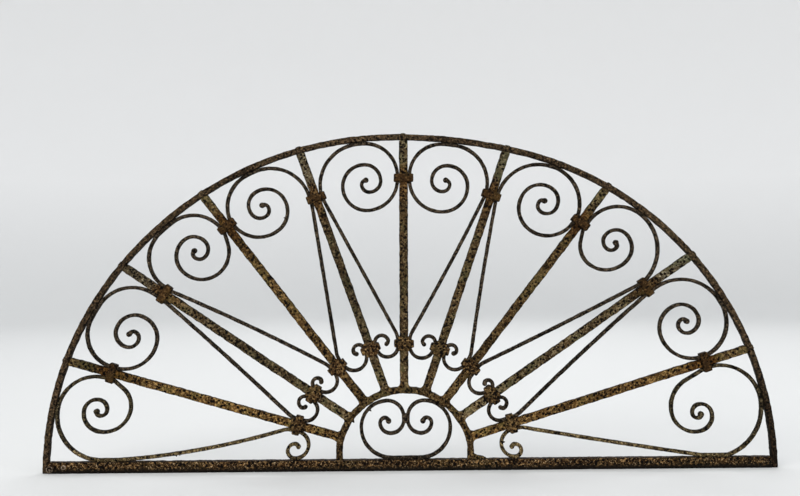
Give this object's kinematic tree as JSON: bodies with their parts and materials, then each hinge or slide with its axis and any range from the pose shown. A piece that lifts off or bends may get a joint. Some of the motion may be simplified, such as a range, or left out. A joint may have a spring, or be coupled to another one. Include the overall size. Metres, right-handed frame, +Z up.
{
  "type": "fanlight grille",
  "caption": "Half-round wrought-iron fanlight grille: straight rays fan from a small hub arch to the rim, a scrolled bar collared into each panel.",
  "frame": {"origin": "middle of the bottom rail's underside", "axes": "+X to the right along the rail seen from the front, +Y to the back, +Z up"},
  "size_m": [1.507, 0.02, 0.6913],
  "materials": {
    "rusted_bar": "hand-forged, pitted, brown rust with ochre flecks",
    "rim_bar": "hand-forged, dark brown rust",
    "scroll_bar": "hand-forged, near-black brown",
    "collar_iron": "hand-forged, brown rust"
  },
  "bodies": {
    "root": {"bottom_rail": "rusted_bar", "hub_arch": "rusted_bar", "spoke_1": "rusted_bar", "spoke_2": "rusted_bar", "spoke_3": "rusted_bar", "spoke_4": "rusted_bar", "spoke_5": "rusted_bar", "spoke_6": "rusted_bar", "spoke_7": "rusted_bar", "spoke_8": "rusted_bar", "spoke_9": "rusted_bar", "arch_rim": "rim_bar", "heart_scroll": "scroll_bar", "panel_scroll_1": "scroll_bar", "panel_scroll_2": "scroll_bar", "panel_scroll_3": "scroll_bar", "panel_scroll_4": "scroll_bar", "panel_scroll_5": "scroll_bar", "panel_scroll_6": "scroll_bar", "panel_scroll_7": "scroll_bar", "panel_scroll_8": "scroll_bar", "panel_scroll_9": "scroll_bar", "panel_scroll_10": "scroll_bar", "outer_collar_1": "collar_iron", "outer_collar_2": "collar_iron", "outer_collar_3": "collar_iron", "outer_collar_4": "collar_iron", "outer_collar_5": "collar_iron", "outer_collar_6": "collar_iron", "outer_collar_7": "collar_iron", "outer_collar_8": "collar_iron", "outer_collar_9": "collar_iron", "inner_collar_1": "collar_iron", "inner_collar_2": "collar_iron", "inner_collar_3": "collar_iron", "inner_collar_4": "collar_iron", "inner_collar_5": "collar_iron", "inner_collar_6": "collar_iron", "inner_collar_7": "collar_iron", "inner_collar_8": "collar_iron", "inner_collar_9": "collar_iron"}
  },
  "joints": []
}
